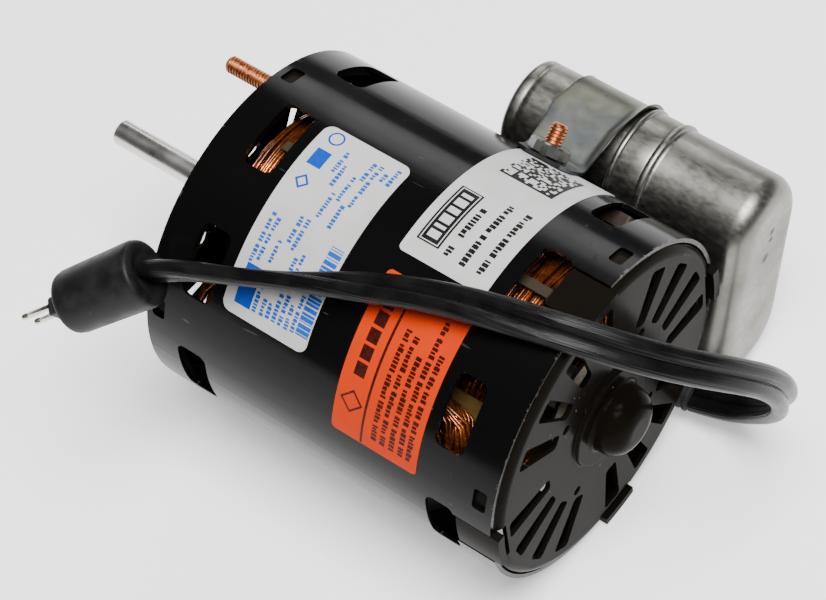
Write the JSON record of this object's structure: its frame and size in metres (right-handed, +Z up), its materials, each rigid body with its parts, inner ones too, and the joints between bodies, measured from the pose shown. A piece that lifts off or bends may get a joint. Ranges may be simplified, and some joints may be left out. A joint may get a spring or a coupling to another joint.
{
  "type": "combustion fan motor",
  "caption": "Small blower motor in a vented cylindrical shell with end bells, a strapped oval run capacitor, a plain shaft and a short plug-in lead.",
  "frame": {"origin": "on the shaft axis, in the plane of the front bell's flat mounting face", "axes": "+X out along the shaft, +Z up with the motor lying on its side on its shell and capacitor, +Y square to both"},
  "size_m": [0.1723, 0.1308, 0.0884],
  "materials": {
    "black_enamel": "gloss",
    "bell_enamel": "gloss",
    "ground_steel": "satin",
    "copper_plate": "satin",
    "zinc_plate": "satin",
    "tin_plate": "dull",
    "lamination_steel": "dull",
    "cast_aluminium": "satin",
    "bearing_bronze": "satin",
    "enamelled_copper": "gloss",
    "terminal_brass": "satin",
    "oil_felt": "matte",
    "slot_paper": "matte",
    "insulation_film": "satin",
    "tie_cord": "matte",
    "white_label": "satin",
    "orange_label": "satin",
    "black_rubber": "satin",
    "lead_insulation": "satin",
    "black_plastic": "matte",
    "phenolic": "satin"
  },
  "bodies": {
    "frame": {"shell": "black_enamel", "rear_end_bell": "bell_enamel", "front_end_bell": "bell_enamel", "mounting_studs": "copper_plate", "rear_bearing": "bearing_bronze", "front_bearing": "bearing_bronze", "rear_bearing_retainer": "zinc_plate", "front_bearing_retainer": "zinc_plate", "rear_oil_wick": "oil_felt", "front_oil_wick": "oil_felt", "stator_core": "lamination_steel", "slot_liners": "slot_paper", "main_windings": "enamelled_copper", "start_windings": "enamelled_copper", "winding_ties": "tie_cord", "phase_insulation": "insulation_film", "thermal_protector": "phenolic", "capacitor_can": "tin_plate", "capacitor_cover": "tin_plate", "capacitor_header": "phenolic", "capacitor_terminals": "terminal_brass", "lead_bushing": "black_rubber", "capacitor_leads": "lead_insulation", "capacitor_strap": "zinc_plate", "strap_stud": "copper_plate", "strap_nut": "zinc_plate", "rating_label": "white_label", "identity_label": "white_label", "caution_label": "orange_label", "cord_grommet": "black_rubber", "motor_leads": "lead_insulation", "power_cord": "lead_insulation", "plug_body": "black_plastic", "plug_pins": "zinc_plate"},
    "rotor": {"shaft": "ground_steel", "rotor_core": "lamination_steel", "rotor_cage": "cast_aluminium", "thrust_washers": "phenolic", "thrust_sleeves": "ground_steel", "oil_slingers": "black_plastic"}
  },
  "joints": [
    {"name": "rotor_spin", "type": "hinge", "parent": "frame", "child": "rotor", "pos_m": [0, 0, 0], "axis": [1, 0, 0], "continuous": true}
  ]
}
